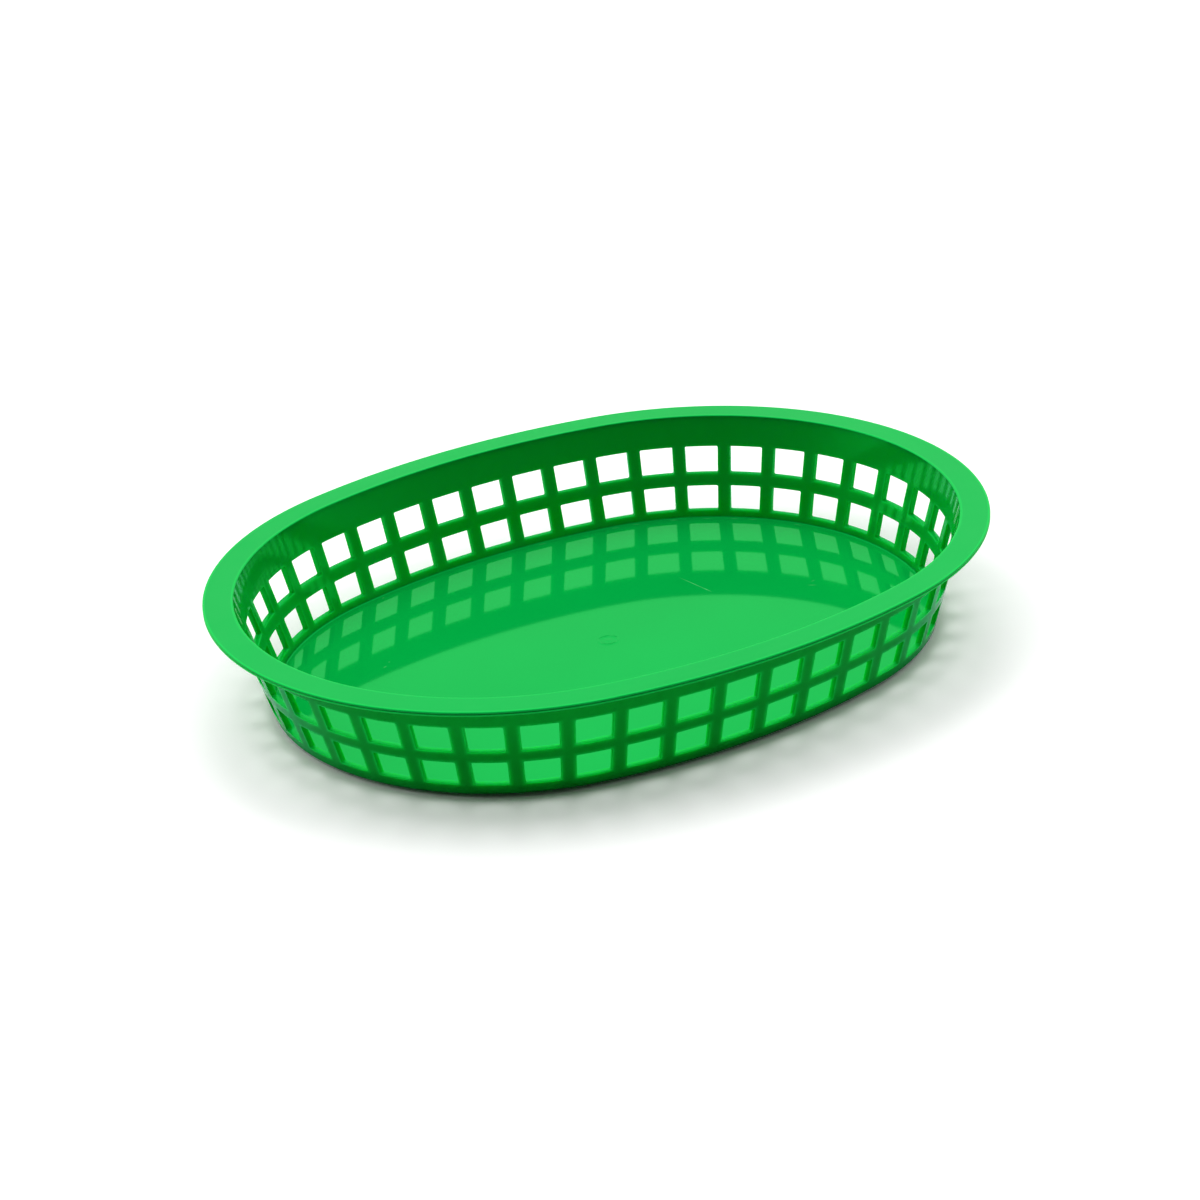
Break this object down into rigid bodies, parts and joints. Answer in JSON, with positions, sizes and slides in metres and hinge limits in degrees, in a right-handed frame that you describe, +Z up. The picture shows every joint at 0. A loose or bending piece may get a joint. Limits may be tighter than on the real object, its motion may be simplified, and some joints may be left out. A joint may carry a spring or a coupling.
{
  "type": "fast food basket",
  "caption": "Oval openwork plastic serving basket with a flat floor, a sloping wall of ribs and windows and a wide flat rim, for serving fast food on a paper liner.",
  "frame": {"origin": "on the table, under the middle of the basket", "axes": "+X along the length, +Y across the width, +Z up out of the open top"},
  "size_m": [0.2986, 0.236, 0.0431],
  "materials": {
    "rim_plastic": "satin green polypropylene, slightly see-through at thin edges",
    "wall_plastic": "satin green polypropylene, slightly see-through at thin edges",
    "floor_plastic": "polished green polypropylene"
  },
  "bodies": {
    "root": {"foot_ring": "floor_plastic", "floor_panel": "floor_plastic", "gate_mark": "floor_plastic", "heel_band": "wall_plastic", "mid_hoop": "wall_plastic", "shoulder_band": "wall_plastic", "rim_flange": "rim_plastic", "rim_edge": "rim_plastic", "rib_01": "wall_plastic", "rib_02": "wall_plastic", "rib_03": "wall_plastic", "rib_04": "wall_plastic", "rib_05": "wall_plastic", "rib_06": "wall_plastic", "rib_07": "wall_plastic", "rib_08": "wall_plastic", "rib_09": "wall_plastic", "rib_10": "wall_plastic", "rib_11": "wall_plastic", "rib_12": "wall_plastic", "rib_13": "wall_plastic", "rib_14": "wall_plastic", "rib_15": "wall_plastic", "rib_16": "wall_plastic", "rib_17": "wall_plastic", "rib_18": "wall_plastic", "rib_19": "wall_plastic", "rib_20": "wall_plastic", "rib_21": "wall_plastic", "rib_22": "wall_plastic", "rib_23": "wall_plastic", "rib_24": "wall_plastic", "rib_25": "wall_plastic", "rib_26": "wall_plastic", "rib_27": "wall_plastic", "rib_28": "wall_plastic", "rib_29": "wall_plastic", "rib_30": "wall_plastic", "rib_31": "wall_plastic", "rib_32": "wall_plastic", "rib_33": "wall_plastic", "rib_34": "wall_plastic", "rib_35": "wall_plastic", "rib_36": "wall_plastic", "rib_37": "wall_plastic", "rib_38": "wall_plastic", "rib_39": "wall_plastic", "rib_40": "wall_plastic", "rib_41": "wall_plastic", "rib_42": "wall_plastic"}
  },
  "joints": []
}
